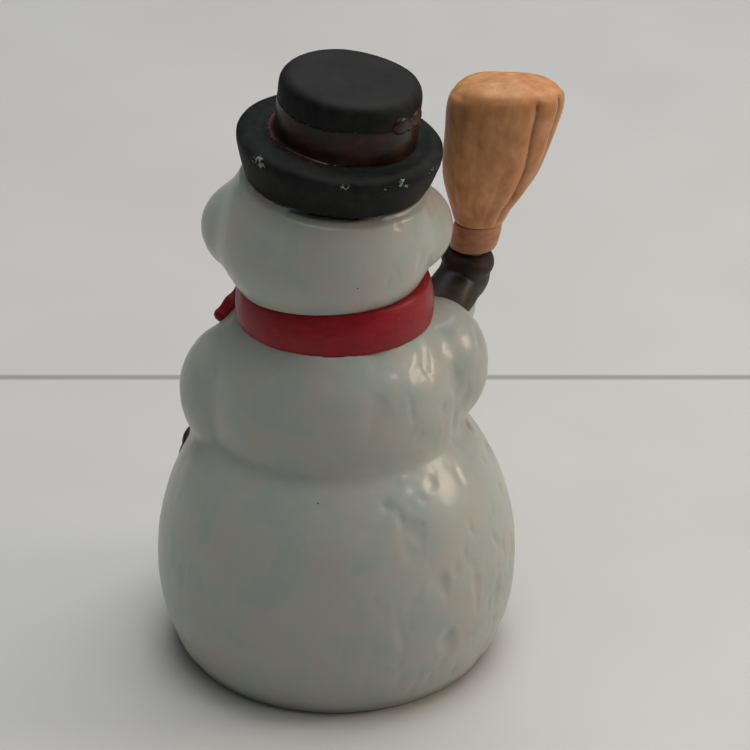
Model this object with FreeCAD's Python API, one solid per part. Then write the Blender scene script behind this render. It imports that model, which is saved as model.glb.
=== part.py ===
"""Bubbling snowman ornament for an aquarium: a hollow figure whose hat is an air-driven lid.

Frame: millimetres, +Z up. The origin is the centre of the foot ring, on the table. The figure
faces -Y, and its right hand, which holds the broom, is at -X. Air enters at the foot, rises in a
tube to a stone in the head, and fills the hat until the hat tips on its rear hinge and lets it go.
"""
import FreeCAD, Part

import math
import os

from FreeCAD import Placement, Rotation, Vector

# ---------------------------------------------------------------- driving dimensions (mm, degrees)

# Cast body: a lower ball cut flat at the foot, a torso, and a neck with a socket
ball_radius = 29.8
ball_up = 34.5              # height of the ball above its widest ring
ball_down = 31.8            # depth of the ball below it, before the foot cuts it off
ball_z = 15.8               # height of the widest ring above the table
torso_radius = 21.0
torso_half = 19.0           # half height of the torso
torso_rise = 31.2           # torso centre above the ball's widest ring
neck_radius = 13.3
neck_rise = 16.0            # top of the neck above the torso centre
wall = 3.0                  # thickness of the cast walls

# Foot, recess under the body, and the floor that holds the stopper
foot_ring_width = 6.0
recess_depth = 9.0
floor_thickness = 3.0
notch_width = 8.0           # mouse hole in the foot ring, at the front, for the air line
notch_height = 8.0
flood_hole_radius = 1.6
flood_hole_count = 3

# Arms and mittens
left_arm_radius = 10.4
left_arm_half = 11.6
left_arm_out = 15.0         # arm centre beside the torso axis
left_arm_drop = 1.2         # and below the torso centre
right_arm_radius = 9.4
right_arm_half = 11.0
right_arm_out = 15.5
right_arm_rise = 3.0
left_forearm_radius = 5.0
right_forearm_radius = 3.8
grip_inset = 8.5            # right hand: beside the axis, this far inside the ball's widest ring,
grip_front = 18.5           # and in front of and above the torso centre
grip_rise = 9.0
mitten_radius = 4.2
mitten_half = 5.8
mitten_rise = 2.9           # middle of the fist above the grip point, along the handle
cuff_radius = 5.2           # hem of the mitten's flared cuff
cuff_length = 14.0          # from the middle of the fist to the hem
cuff_inset = 3.6            # and the hem's shift towards the figure's axis
left_hand_angle = 35.0      # left hand on the ball: angle from +X towards the front
left_hand_rise = 9.0        # left hand above the ball's widest ring
left_hand_radius = 3.7
left_hand_half = 5.6

# Cast head: a ball with full cheeks, a spigot below and a seat for the hat above
head_radius = 17.0
head_half = 14.5
head_rise = 27.4            # head centre above the torso centre
head_shift = 1.2            # head centre beside the body axis, towards the left hand
cheek_radius = 7.0
cheek_half_width = 6.5
cheek_drop = 0.9            # cheek centre below the head's centre
cheek_inset = 3.5           # cheek centre inside the head's radius
cheek_front = 4.0
spigot_length = 6.5
spigot_bore_radius = 9.0

# Hat: a moulded lid with a deep skirt, seated askew on the head
hat_rise = 9.6              # rim plane above the head centre
hat_shift = 0.3             # rim centre beside the body axis, towards the broom
hat_lean_side = 6.5         # lean towards the broom
hat_lean_back = 4.4         # lean backwards
rim_radius = 14.6
rim_round = 0.6
brim_radius = 16.2
brim_height = 6.6           # height of the brim's ridge above the rim
brim_round = 0.9
crown_base = 8.2
crown_radius = 10.9
crown_shift = 0.8           # crown's axis beside the brim's, towards the broom
crown_top = 16.9
crown_round = 1.6
hat_wall = 1.5
skirt_wall = 2.0
band_height = 4.6
band_thickness = 0.35
bow_angle = 147.0           # bow's place on the crown, from +X towards the back
bow_half = 2.7
bow_rise = 4.6              # bow's middle above the crown's foot

# Seat of the hat and its hinge
hat_gap = 0.3               # rim to the head's seat face, hat shut
seat_opening_radius = 10.0
seal_width = 0.8
seal_thickness = 0.9
seal_gap = 0.1              # rim to seat ring, hat shut
seal_open_angle = 30.0      # half of the gap that the ring leaves round the hinge
hinge_inset = 0.6           # hinge axis inside the skirt's bore
hinge_height = 0.6          # hinge axis above the rim plane
pin_radius = 0.4
hinge_knuckle = 0.85        # radius of knuckle and ears
knuckle_half = 1.6          # half length of the knuckle
ear_width = 1.0
hinge_side_gap = 0.1        # knuckle to ear
hinge_running_fit = 0.05    # radial clearance of the pin in the knuckle
bracket_thickness = 1.0
bracket_gap = 0.3           # knuckle to bracket plate
hinge_side_room = 0.5        # room beside the ears inside the skirt
hinge_back_room = 0.56      # and behind them, for the swing
relief_depth = 0.8          # seat face lowered behind the hinge, where the rim dips
liner_gap = 0.25            # liner plate above the ears
liner_thickness = 1.2
liner_opening_radius = 8.5
weight_thickness = 1.6
weight_span = 120.0

# Air path: elbow, tube, nipple and stone
hose_tail_radius = 2.25     # a 4 mm bore air line stretches over it
hose_tail_length = 9.0
elbow_radius = 3.0
elbow_bore_radius = 1.2
elbow_reach = 9.5           # riser axis to the root of the hose tail
tube_bore_radius = 2.0
tube_wall = 1.0
tube_end_rise = 19.0        # top of the tube above the torso centre
stopper_hole_radius = 9.0
stopper_flange = 1.8
stopper_flange_thickness = 1.4
elbow_stand = 2.0           # elbow's shoulder above the floor
spigot_in_tube = 6.0
nipple_collar = 1.0
stone_radius = 5.0
stone_length = 9.0
stone_spigot_radius = 1.6
stone_spigot_length = 4.0
guide_thickness = 1.5
guide_hole_radius = 1.8
guide_hole_count = 4

# Broom, scarf and face
broom_top_rise = 47.7       # end of the bristles above the torso centre
bristle_half_width = 9.0
bristle_half_depth = 6.5
binding_half_width = 4.0
binding_half_depth = 3.7
binding_start_rise = 17.2   # binding's lower and upper ends above the torso centre
binding_end_rise = 22.3
handle_radius = 2.0
handle_end = 4.0            # lower end of the handle above the table
broom_rest_angle = -118.0   # where the handle leans on the ball, from +X
scarf_thickness = 2.5
scarf_low_rise = 12.4       # lower and upper edges of the scarf above the torso centre
scarf_high_rise = 19.7
scarf_knot_angle = -43.0    # knot's place round the neck, from +X
scarf_knot_radius = 3.5
tail_width = 6.6
tail_thickness = 3.2
long_tail_length = 17.0
short_tail_length = 10.0
eye_radius = 1.8
eye_spread = 5.5
eye_rise = 2.6
nose_base_radius = 2.4
nose_tip_radius = 0.55
nose_length = 10.0
nose_drop = 1.4
coal_radius = 0.9
coal_count = 5
coal_drop = 5.0
smile_radius = 6.4
button_radius = 2.2

# Clearances between pieces that are fitted together
fit_gap = 0.1               # glued spigots and discs, radial
push_gap = 0.05             # pushed tubes and plugs, radial

# ---------------------------------------------------------------- places worked out from them

UP = Vector(0, 0, 1)
torso_z = ball_z + torso_rise
neck_z = torso_z + neck_rise
head_z = torso_z + head_rise
head_centre = Vector(head_shift, 0, head_z)
foot_radius = ball_radius * math.sqrt(1 - (ball_z / ball_down) ** 2)
recess_radius = foot_radius - foot_ring_width
floor_z = recess_depth
floor_top = floor_z + floor_thickness

socket_radius = spigot_bore_radius + wall + fit_gap
spigot_radius = spigot_bore_radius + wall
spigot_end = neck_z - spigot_length
socket_floor = spigot_end - guide_thickness

hat_frame = Placement(Vector(-hat_shift, 0, head_z + hat_rise), Rotation(0, -hat_lean_side, -hat_lean_back))
skirt_bore_radius = rim_radius - skirt_wall
seal_radius = rim_radius - rim_round - seal_width / 2 - hat_gap
crown_offset = Vector(-crown_shift, 0, 0)
hinge_y = skirt_bore_radius - hinge_inset
liner_height = hinge_height + hinge_knuckle + liner_gap
ear_inner = knuckle_half + hinge_side_gap
ear_outer = ear_inner + ear_width
plate_top = hinge_height - hinge_knuckle - bracket_gap

tube_radius = tube_bore_radius + tube_wall
tube_spigot_radius = tube_bore_radius - push_gap
inlet_height = floor_z - stopper_flange_thickness - elbow_radius - fit_gap
elbow_top = floor_top + elbow_stand
tube_end = torso_z + tube_end_rise
stone_z = tube_end + nipple_collar

grip = Vector(-(ball_radius - grip_inset), -grip_front, torso_z + grip_rise)


# ---------------------------------------------------------------- shape helpers

def quarter(first, second):
    """Quarter of the ellipse about the origin, between the ends of its two half axes.

    It is a rational curve, which keeps its sense in a STEP file whichever half axis is longer.
    """
    if abs(first.Length - second.Length) < 1e-6:
        middle = (first + second) * (math.sqrt(2) / 2)
        return Part.Arc(first, middle, second).toShape().toNurbs().Edges[0]
    long_end, short_end = (first, second) if first.Length > second.Length else (second, first)
    ellipse = Part.Ellipse(long_end, short_end, Vector(0, 0, 0))
    return Part.Arc(ellipse, 0, math.pi / 2).toShape().toNurbs().Edges[0]


def revolved(edges):
    """Solid of revolution about Z of the outline that these edges in the XZ plane close."""
    wire = Part.Wire(Part.__sortEdges__(edges))
    return Part.Face(wire).revolve(Vector(0, 0, 0), UP, 360)


def spheroid(centre, radius, up, down=None, axis=UP):
    """Egg of revolution: its radius, and its reach along the axis on each side of the centre."""
    down = up if down is None else down
    bottom, side, top = Vector(0, 0, -down), Vector(radius, 0, 0), Vector(0, 0, up)
    egg = revolved([quarter(bottom, side), quarter(side, top), Part.makeLine(top, bottom)])
    egg.Placement = Placement(centre, Rotation(UP, axis))
    return egg


def ring(outer, inner, low, high):
    """Round plate or tube about Z; an inner radius of 0 leaves it whole."""
    solid = Part.makeCylinder(outer, high - low, Vector(0, 0, low))
    if inner:
        solid = solid.cut(Part.makeCylinder(inner, high - low, Vector(0, 0, low)))
    return solid


def block(x_low, x_high, y_low, y_high, z_low, z_high):
    """Box between these bounds."""
    return Part.makeBox(x_high - x_low, y_high - y_low, z_high - z_low, Vector(x_low, y_low, z_low))


def fan(radius, start_angle, span, low, high):
    """Sector of a disc about Z, from this angle and over this span."""
    sector = Part.makeCylinder(radius, high - low, Vector(0, 0, low), UP, span)
    sector.rotate(Vector(0, 0, 0), UP, start_angle)
    return sector


def in_hat(shape):
    """Shape drawn in the hat's own frame, moved to where the hat sits."""
    moved = shape.copy()
    moved.Placement = hat_frame.multiply(moved.Placement)
    return moved


def around(radius, degrees, height):
    """Point at this radius and angle about the body axis."""
    angle = math.radians(degrees)
    return Vector(radius * math.cos(angle), radius * math.sin(angle), height)


def ball_radius_at(height):
    """Radius of the lower ball at this height above the table."""
    rise = height - ball_z
    reach = ball_up if rise > 0 else ball_down
    return ball_radius * math.sqrt(1 - (rise / reach) ** 2)


def torso_radius_at(height):
    """Radius of the torso at this height above the table."""
    return torso_radius * math.sqrt(1 - ((height - torso_z) / torso_half) ** 2)


def chest_radius_at(height):
    """Radius of the body's front at this height, whichever of its two balls is the wider."""
    torso = torso_radius_at(height) if abs(height - torso_z) < torso_half else 0
    ball = ball_radius_at(height) if height - ball_z < ball_up else 0
    return max(torso, ball)


def one_solid(shape):
    """Largest solid of a boolean result, without seams that it doesn't need."""
    return max(shape.Solids, key=lambda solid: solid.Volume).removeSplitter()


def export(name, shape):
    """Write one sub-part under its node's name."""
    shape.exportStep("parts/" + name + ".step")


# ---------------------------------------------------------------- body

left_hand = around(ball_radius_at(ball_z + left_hand_rise), -left_hand_angle, ball_z + left_hand_rise)
left_shoulder = Vector(left_arm_out, -1.0, torso_z - left_arm_drop)
right_shoulder = Vector(-right_arm_out, -2.0, torso_z + right_arm_rise)


def limb(start, end, radius):
    """Egg-shaped forearm between two points, reaching a little into what it joins."""
    run = end - start
    return spheroid((start + end) * 0.5, radius, run.Length * 0.56, axis=run)


def make_body_skin():
    """Outside of the body casting, solid."""
    ball = spheroid(Vector(0, 0, ball_z), ball_radius, ball_up, ball_down)
    ball = ball.common(block(-99, 99, -99, 99, 0, 199))
    torso = spheroid(Vector(0, 0, torso_z), torso_radius, torso_half)
    neck = ring(neck_radius, 0, torso_z, neck_z)
    left_arm = spheroid(left_shoulder, left_arm_radius, left_arm_half)
    right_arm = spheroid(right_shoulder, right_arm_radius, right_arm_half)
    left_elbow = left_shoulder + Vector(-1.5, -7, -3)
    left_forearm = limb(left_elbow, left_hand, left_forearm_radius)
    right_forearm = limb(right_shoulder, grip, right_forearm_radius)
    return ball.fuse([torso, neck, left_arm, right_arm, left_forearm, right_forearm])


def make_body_hollow():
    """Everything that is cut out of the body casting."""
    ball = spheroid(Vector(0, 0, ball_z), ball_radius - wall, ball_up - wall, ball_down - wall)
    ball = ball.common(block(-99, 99, -99, 99, floor_top, 199))
    torso = spheroid(Vector(0, 0, torso_z), torso_radius - wall, torso_half - wall)
    torso = torso.common(block(-99, 99, -99, 99, 0, socket_floor - wall))
    bore = ring(spigot_bore_radius, 0, torso_z, neck_z)
    socket = ring(socket_radius, 0, socket_floor, neck_z)
    recess = ring(recess_radius, 0, 0, floor_z)
    plug_hole = ring(stopper_hole_radius, 0, 0, floor_top)
    cuts = [torso, bore, socket, recess, plug_hole, make_hose_notch()]
    ring_radius = (stopper_hole_radius + stopper_flange + recess_radius) / 2
    for turn in range(flood_hole_count):
        centre = around(ring_radius, 90 + turn * 360 / flood_hole_count, 0)
        cuts.append(Part.makeCylinder(flood_hole_radius, floor_top, centre))
    return ball.fuse(cuts)


def make_hose_notch():
    """Arched mouse hole through the front of the foot ring, into the round recess behind it."""
    half = notch_width / 2
    start = -foot_radius - wall
    end = -math.sqrt(recess_radius ** 2 - half ** 2) + fit_gap
    depth = end - start
    arch = Part.makeCylinder(half, depth, Vector(0, start, notch_height - half), Vector(0, 1, 0))
    return arch.fuse(block(-half, half, start, start + depth, 0, notch_height - half))


body_skin = make_body_skin()
body_casting = one_solid(body_skin.cut(make_body_hollow()))


# ---------------------------------------------------------------- head

def make_head_skin():
    """Outside of the head casting, solid, with the collar that carries the hat.

    Only its spigot goes below the neck's top, however large the head is.
    """
    core = spheroid(head_centre, head_radius, head_half)
    core = core.cut(ring(head_radius + neck_radius, spigot_radius, 0, neck_z))
    lumps = [ring(spigot_radius, 0, spigot_end, head_z)]
    for side in (-1, 1):
        centre = head_centre + Vector(side * (head_radius - cheek_inset), -cheek_front, -cheek_drop)
        lumps.append(spheroid(centre, cheek_radius, cheek_half_width, axis=Vector(1, 0, 0)))
    lumps.append(in_hat(ring(rim_radius - hat_gap, 0, -4, 0)))
    above = in_hat(block(-99, 99, -99, 99, -hat_gap, 99))
    return core.fuse(lumps).cut(above)


def make_head_hollow():
    """Chamber for the air stone, the bore below it and the way up into the hat."""
    chamber = spheroid(head_centre, head_radius - wall, head_half - wall)
    chamber = chamber.cut(in_hat(block(-99, 99, -99, 99, -wall - seal_thickness, 99)))
    bore = ring(spigot_bore_radius, 0, spigot_end, head_z)
    mouth = in_hat(ring(seat_opening_radius, 0, -2 * wall, 0))
    groove = make_seal_sector(seal_thickness + seal_gap, 0)
    relief = block(-rim_radius, rim_radius, hinge_y, rim_radius, -relief_depth, 0)
    pocket = make_bracket_plate(fit_gap, 0)
    return chamber.fuse([bore, mouth, in_hat(groove), in_hat(relief), in_hat(pocket)])


def make_seal_sector(depth, top):
    """Open ring under the rim, in the hat's frame, from this depth below it up to this height."""
    low = -depth
    whole = ring(seal_radius + seal_width / 2, seal_radius - seal_width / 2, low, top)
    start = 90 - seal_open_angle
    return whole.cut(fan(2 * seal_radius, start, 2 * seal_open_angle, low, top))


def make_bracket_plate(grow, top):
    """Foot plate of the hinge bracket in the hat's frame; its pocket grows it and is open above."""
    half = ear_outer + bracket_thickness + grow
    back = hinge_y + hinge_knuckle + grow
    front = seat_opening_radius - bracket_thickness
    return block(-half, half, front, back, plate_top - bracket_thickness, top)


head_skin = make_head_skin()
head_casting = one_solid(head_skin.cut(make_head_hollow()))


# ---------------------------------------------------------------- hat, which is the lid

def make_brim_blank():
    """Skirt and brim as one solid disc, its rim and its ridge rounded.

    The brim's slope runs on under the crown, which stands beside the disc's axis.
    """
    rim_corner = Vector(rim_radius - rim_round, 0, 0)
    rim_side = Vector(rim_radius, 0, rim_round)
    rim_mid = Vector(rim_radius - 0.29 * rim_round, 0, 0.29 * rim_round)
    ridge_low = Vector(brim_radius, 0, brim_height - brim_round)
    ridge_mid = Vector(brim_radius - 0.29 * brim_round, 0, brim_height - 0.29 * brim_round)
    ridge_top = Vector(brim_radius - brim_round, 0, brim_height)
    slope = (crown_base - brim_height) / (brim_radius - brim_round - crown_radius)
    under_radius = crown_radius - crown_shift - hat_wall / 2
    under_height = crown_base + slope * (crown_radius - under_radius)
    crown_foot = Vector(under_radius, 0, under_height)
    top = Vector(0, 0, under_height)
    bottom = Vector(0, 0, 0)
    edges = [
        Part.makeLine(bottom, rim_corner),
        Part.Arc(rim_corner, rim_mid, rim_side).toShape(),
        Part.makeLine(rim_side, ridge_low),
        Part.Arc(ridge_low, ridge_mid, ridge_top).toShape(),
        Part.makeLine(ridge_top, crown_foot),
        Part.makeLine(crown_foot, top),
        Part.makeLine(top, bottom),
    ]
    return revolved(edges)


def make_hat_shell():
    """Hat's outer moulding: skirt, brim and crown, open below, with room for the hinge."""
    crown = ring(crown_radius, 0, crown_base - hat_wall, crown_top)
    crown = crown.makeFillet(crown_round, [max(crown.Edges, key=lambda edge: edge.BoundBox.ZMin)])
    crown.translate(crown_offset)
    skirt_bore = ring(skirt_bore_radius, 0, 0, brim_height - hat_wall)
    crown_bore = ring(crown_radius - hat_wall, 0, 0, crown_top - hat_wall)
    crown_bore.translate(crown_offset)
    half = ear_outer + hinge_side_room
    back = hinge_y + hinge_knuckle + hinge_back_room
    hinge_pocket = block(-half, half, 0, back, 0, liner_height)
    return make_brim_blank().fuse(crown).cut(skirt_bore.fuse([crown_bore, hinge_pocket]))


def make_hat_band():
    """Ribbon round the foot of the crown."""
    outer = crown_radius + band_thickness
    band = ring(outer, crown_radius, crown_base - band_thickness, crown_base + band_height)
    band.translate(crown_offset)
    return band


def make_hat_bow():
    """Bow on the band: two loops and a knot, standing off the crown."""
    height = crown_base + bow_rise
    out = around(1, bow_angle, 0)
    along = UP.cross(out)
    centre = crown_offset + out * (crown_radius + band_thickness) + UP * height
    knot = spheroid(centre, bow_half * 0.42, bow_half * 0.5, axis=out)
    loops = [knot]
    for side in (-1, 1):
        middle = centre + (along * side + UP * 0.25) * (bow_half * 0.75)
        loops.append(spheroid(middle, bow_half * 0.55, bow_half * 0.8, axis=along))
    return loops[0].fuse(loops[1:])


def make_hat_liner():
    """Ring plate glued in the skirt, with the hinge knuckle that hangs from it."""
    low = liner_height
    plate = ring(skirt_bore_radius - fit_gap, liner_opening_radius, low, low + liner_thickness)
    start = Vector(-knuckle_half, hinge_y, hinge_height)
    knuckle = Part.makeCylinder(hinge_knuckle, 2 * knuckle_half, start, Vector(1, 0, 0))
    arm_front = hinge_y - hinge_knuckle
    arm_back = hinge_y + hinge_knuckle / 4
    arm = block(-knuckle_half, knuckle_half, arm_front, arm_back, hinge_height, low + liner_thickness / 2)
    bore = Part.makeCylinder(pin_radius + hinge_running_fit, 2 * knuckle_half, start, Vector(1, 0, 0))
    return plate.fuse([knuckle, arm]).cut(bore)


def make_lid_weight():
    """Part ring on the liner's front, which shuts the lid again."""
    low = liner_height + liner_thickness
    outer = skirt_bore_radius - 3 * fit_gap
    whole = ring(outer, liner_opening_radius, low, low + weight_thickness)
    return whole.common(fan(2 * outer, 270 - weight_span / 2, weight_span, low, low + weight_thickness))


def make_hinge_bracket():
    """Plate let into the seat, with two ears for the pin."""
    plate = make_bracket_plate(0, plate_top)
    ears = []
    for side in (-1, 1):
        low, high = sorted((side * ear_inner, side * ear_outer))
        start = Vector(low, hinge_y, hinge_height)
        ears.append(Part.makeCylinder(hinge_knuckle, ear_width, start, Vector(1, 0, 0)))
        front = hinge_y - hinge_knuckle
        ears.append(block(low, high, front, front + 1.7 * hinge_knuckle, plate_top, hinge_height))
    pin_hole = Part.makeCylinder(pin_radius, 2 * ear_outer, Vector(-ear_outer, hinge_y, hinge_height),
                                 Vector(1, 0, 0))
    return plate.fuse(ears).cut(pin_hole)


def make_hinge_pin():
    """Pin held in both ears."""
    half = ear_outer + hinge_side_room / 3
    return Part.makeCylinder(pin_radius, 2 * half, Vector(-half, hinge_y, hinge_height), Vector(1, 0, 0))


hat_shell = make_hat_shell()
hat_band = one_solid(make_hat_band().cut(hat_shell))
hat_bow = one_solid(make_hat_bow().cut(hat_shell.fuse(hat_band)))


# ---------------------------------------------------------------- broom, mittens and scarf

def make_broom_line():
    """Point where the broom's axis passes the grip, and its direction upwards.

    The handle leans on the ball's widest ring in front of the right hand.
    """
    rest_radius = ball_radius + handle_radius * 0.8
    rest = around(rest_radius, broom_rest_angle, ball_z)
    direction = (grip - rest).normalize()
    return grip, direction


def broom_point(height):
    """Point on the broom's axis at this height above the table."""
    start, direction = make_broom_line()
    return start + direction * ((height - start.z) / direction.z)


def broom_oval(height, half_width, half_depth):
    """Level oval wire about the broom's axis."""
    centre = broom_point(height)
    ellipse = Part.Ellipse(centre + Vector(half_width, 0, 0), centre + Vector(0, half_depth, 0), centre)
    return Part.Wire(ellipse.toShape())


def make_broom_handle():
    """Round handle from the table up into the bristles."""
    low = broom_point(handle_end)
    high = broom_point(torso_z + binding_end_rise)
    return Part.makeCylinder(handle_radius, (high - low).Length, low, high - low)


def make_broom_binding():
    """Narrow waist where the bristles are bound to the handle."""
    low = torso_z + binding_start_rise
    high = torso_z + binding_end_rise
    middle = (low + high) / 2
    ovals = [
        broom_oval(low, binding_half_width * 0.94, binding_half_depth * 0.94),
        broom_oval(middle, binding_half_width, binding_half_depth),
        broom_oval(high, binding_half_width * 0.97, binding_half_depth * 0.97),
    ]
    return Part.makeLoft(ovals, True)


def make_broom_bristles():
    """Bell of bristles that opens upwards to a flat oval end."""
    low = torso_z + binding_end_rise
    high = torso_z + broom_top_rise
    spread = ((0, 0.0), (0.15, 0.24), (0.45, 0.76), (0.75, 0.97), (0.94, 1.0), (1.0, 0.9))
    ovals = []
    for along, share in spread:
        half_width = binding_half_width + (bristle_half_width - binding_half_width) * share
        half_depth = binding_half_depth + (bristle_half_depth - binding_half_depth) * share
        ovals.append(broom_oval(low + (high - low) * along, half_width, half_depth))
    return Part.makeLoft(ovals, True)


def make_right_mitten():
    """Mitten closed round the handle, with its cuff towards the forearm."""
    direction = make_broom_line()[1]
    palm = grip + direction * mitten_rise + Vector(0.3, 0, 0)
    fist = spheroid(palm, mitten_radius, mitten_half, axis=direction)
    thumb = spheroid(palm + Vector(0, -2.2, 0.5), mitten_radius * 0.55, mitten_half * 0.62, axis=direction)
    finger_place = palm + direction * (mitten_half * 0.5)
    fingers = spheroid(finger_place, mitten_radius * 1.06, mitten_half * 0.46, axis=direction)
    inward = (right_shoulder + Vector(cuff_inset, 0, 0) - palm).normalize()
    cuff = Part.makeCone(mitten_radius * 0.9, cuff_radius, cuff_length, palm, inward)
    return fist.fuse([thumb, fingers, cuff])


def make_left_mitten():
    """Mitten laid flat on the ball, with its cuff towards the elbow."""
    reach = (left_hand - left_shoulder).normalize()
    palm = spheroid(left_hand, left_hand_radius, left_hand_half, axis=reach)
    thumb_place = left_hand + Vector(-3.0, -2.6, 1.2)
    thumb = spheroid(thumb_place, left_hand_radius * 0.5, left_hand_half * 0.5, axis=reach)
    cuff = spheroid(left_hand - reach * 4.2, left_hand_radius * 1.2, 2.6, axis=reach)
    return palm.fuse([thumb, cuff])


def make_scarf_wrap():
    """Scarf round the neck, before the body and the head are cut out of it."""
    low = torso_z + scarf_low_rise
    high = torso_z + scarf_high_rise
    outer = neck_radius + scarf_thickness
    inner_low = Vector(neck_radius, 0, low)
    inner_high = Vector(neck_radius, 0, high)
    outer_low = Vector(outer - 0.1, 0, low)
    outer_mid = Vector(outer + 0.1, 0, (low + high) / 2)
    outer_high = Vector(outer - 0.7, 0, high)
    edges = [
        Part.makeLine(inner_low, outer_low),
        Part.Arc(outer_low, outer_mid, outer_high).toShape(),
        Part.makeLine(outer_high, inner_high),
        Part.makeLine(inner_high, inner_low),
    ]
    return revolved(edges)


def make_tail(start, run, outward):
    """Flat scarf end that hangs from the knot along this run, its face turned outward."""
    half = tail_width / 2
    strip = block(-half, half, -tail_thickness / 2, tail_thickness / 2, 0, run.Length)
    strip = strip.makeFillet(tail_thickness * 0.32, strip.Edges)
    side = outward.cross(run).normalize()
    face = run.cross(side).normalize()
    along = Vector(run).normalize()
    turn = Rotation(side, face, along, "ZXY")
    strip.Placement = Placement(start, turn)
    return strip


broom_handle_bar = make_broom_handle()
broom_handle = one_solid(broom_handle_bar.cut(body_skin))
broom_binding = one_solid(make_broom_binding().cut(broom_handle_bar))
broom_bristles = one_solid(make_broom_bristles().cut(broom_handle_bar))
right_mitten = one_solid(make_right_mitten().cut(body_skin).cut(broom_handle_bar).cut(broom_binding))
left_mitten = one_solid(make_left_mitten().cut(body_skin))

scarf_wrap = one_solid(make_scarf_wrap().cut(body_skin).cut(head_skin))
knot_height = torso_z + (scarf_low_rise + scarf_high_rise) / 2 - 2.6
knot_centre = around(neck_radius + scarf_thickness + 0.9, scarf_knot_angle, knot_height)
knot_ball = spheroid(knot_centre, scarf_knot_radius, scarf_knot_radius * 1.1)
scarf_knot = one_solid(knot_ball.cut(body_skin).cut(head_skin).cut(scarf_wrap))


def tail_solid(angle, length, drop):
    """Scarf tail laid from the knot over the body to this angle, and cut to lie on it."""
    end_height = knot_height - drop
    end = around(torso_radius_at(end_height) + 0.2, angle, end_height)
    run = (end - knot_centre).normalize() * length
    tail = make_tail(knot_centre, run, around(1, angle, 0))
    return tail.cut(body_skin).cut(head_skin).cut(scarf_wrap).cut(knot_ball)


scarf_tail_long = one_solid(tail_solid(scarf_knot_angle - 15, long_tail_length, long_tail_length * 0.9))
scarf_tail_short = one_solid(
    tail_solid(scarf_knot_angle + 23, short_tail_length, short_tail_length * 0.6).cut(scarf_tail_long))


# ---------------------------------------------------------------- face and buttons

def head_front(across, rise):
    """Point on the front of the head, across from and above its centre."""
    radius = head_radius * math.sqrt(1 - (rise / head_half) ** 2)
    return head_centre + Vector(across, -math.sqrt(radius ** 2 - across ** 2), rise)


def bead(point, centre, radius, depth):
    """Flat bead of coal pressed on the surface at a point, facing away from a centre."""
    return spheroid(point, radius, depth, axis=point - centre)


def make_eyes():
    """Two coal eyes."""
    return [bead(head_front(side * eye_spread, eye_rise), head_centre, eye_radius, eye_radius * 0.6)
            for side in (-1, 1)]


def make_mouth_coals():
    """Curved row of small coals under the nose."""
    coals = []
    for number in range(coal_count):
        angle = math.radians(270 + (number - (coal_count - 1) / 2) * 24)
        across = smile_radius * math.cos(angle)
        rise = -coal_drop + smile_radius * (1 + math.sin(angle))
        coals.append(bead(head_front(across, rise), head_centre, coal_radius, coal_radius * 0.7))
    return coals


def make_buttons():
    """Three coal buttons down the front."""
    heights = (torso_z + 5.0, torso_z - 3.5, ball_z + 13.6)
    return [bead(Vector(0, -chest_radius_at(height), height), Vector(0, 0, height), button_radius,
                 button_radius * 0.5) for height in heights]


def make_carrot_nose():
    """Carrot that tapers forwards from the head."""
    root = head_front(0, -nose_drop)
    start = root + Vector(0, 1.5, 0)
    cone = Part.makeCone(nose_base_radius, nose_tip_radius, nose_length + 1.5, start, Vector(0, -1, -0.08))
    return cone.makeFillet(nose_tip_radius * 0.6, [min(cone.Edges, key=lambda edge: edge.BoundBox.YMin)])


eyes = Part.makeCompound([one_solid(eye.cut(head_skin)) for eye in make_eyes()])
mouth_coals = Part.makeCompound([one_solid(coal.cut(head_skin)) for coal in make_mouth_coals()])
coat_buttons = Part.makeCompound([one_solid(button.cut(body_skin)) for button in make_buttons()])
carrot_nose = one_solid(make_carrot_nose().cut(head_skin))


# ---------------------------------------------------------------- air path

def make_base_stopper():
    """Flanged plug in the floor of the body, bored for the elbow."""
    plug = ring(stopper_hole_radius - push_gap, 0, floor_z, floor_top)
    flange = ring(stopper_hole_radius + stopper_flange, 0, floor_z - stopper_flange_thickness, floor_z)
    return plug.fuse(flange).cut(ring(elbow_radius + push_gap, 0, 0, floor_top))


def make_inlet_elbow():
    """Moulded elbow: hose tail to the front, spigot up into the riser tube."""
    front = Vector(0, -1, 0)
    corner = Vector(0, 0, inlet_height)
    tail_end = elbow_reach + hose_tail_length
    upright = ring(elbow_radius, 0, inlet_height, elbow_top)
    spigot = ring(tube_spigot_radius, 0, elbow_top, elbow_top + spigot_in_tube)
    knee = Part.makeSphere(elbow_radius, corner)
    arm = Part.makeCylinder(elbow_radius, elbow_reach, corner, front)
    tail = Part.makeCylinder(hose_tail_radius, tail_end, corner, front)
    outside = upright.fuse([spigot, knee, arm, tail])
    up_bore = ring(elbow_bore_radius, 0, inlet_height, elbow_top + spigot_in_tube)
    front_bore = Part.makeCylinder(elbow_bore_radius, tail_end, corner, front)
    return outside.cut(up_bore.fuse([front_bore, Part.makeSphere(elbow_bore_radius, corner)]))


def make_riser_tube():
    """Tube from the elbow up to the head."""
    return ring(tube_radius, tube_bore_radius, elbow_top, tube_end)


def make_riser_guide():
    """Disc under the head's spigot that centres the tube and lets water past."""
    disc = ring(socket_radius - fit_gap, tube_radius + push_gap, socket_floor, spigot_end)
    hole_ring = (tube_radius + spigot_bore_radius) / 2
    for turn in range(guide_hole_count):
        centre = around(hole_ring, 45 + turn * 360 / guide_hole_count, socket_floor)
        disc = disc.cut(Part.makeCylinder(guide_hole_radius, guide_thickness, centre))
    return disc


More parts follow.
